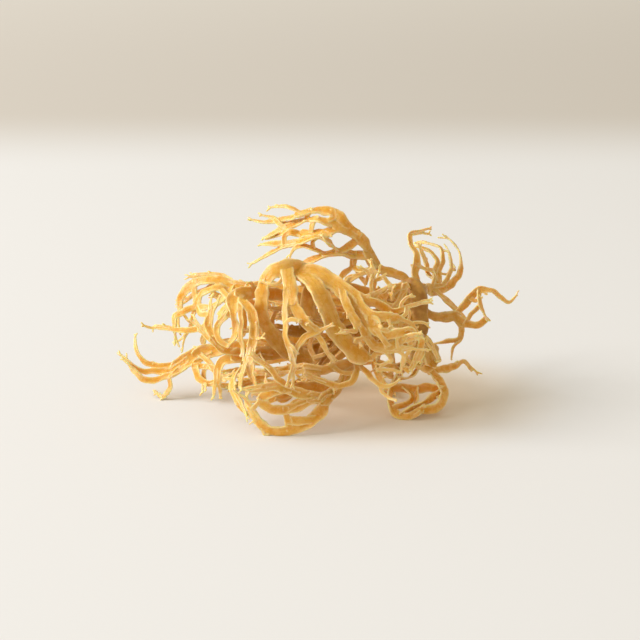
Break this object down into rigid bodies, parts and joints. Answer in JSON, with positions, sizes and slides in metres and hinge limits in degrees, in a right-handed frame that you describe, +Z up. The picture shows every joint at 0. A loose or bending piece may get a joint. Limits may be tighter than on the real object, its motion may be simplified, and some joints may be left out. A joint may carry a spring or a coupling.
{
  "type": "irish moss",
  "caption": "Dried tuft of Irish moss: flat golden fronds that fork again and again from one dark stipe, curled round each other, lying on a surface.",
  "frame": {"origin": "on the surface that the tuft lies on, under the centre of its box", "axes": "+X along the tuft's length, towards the end with the stipe; +Z up; the side seen in the picture looks towards -Y"},
  "size_m": [0.0944, 0.057, 0.0446],
  "materials": {
    "frond": "satin",
    "stipe": "satin"
  },
  "bodies": {
    "root": {"frond_upper_left": "frond", "frond_upper_right": "frond", "frond_right": "frond", "frond_lower_right": "frond", "frond_right_cup": "frond", "frond_front_arch": "frond", "frond_sprig": "frond", "frond_front_middle": "frond", "frond_front_low": "frond", "frond_left_front": "frond", "frond_left_middle": "frond", "frond_left_back": "frond", "frond_left_low": "frond", "frond_inner": "frond", "frond_back_high": "frond", "frond_back_low": "frond", "stipe": "stipe"}
  },
  "joints": []
}
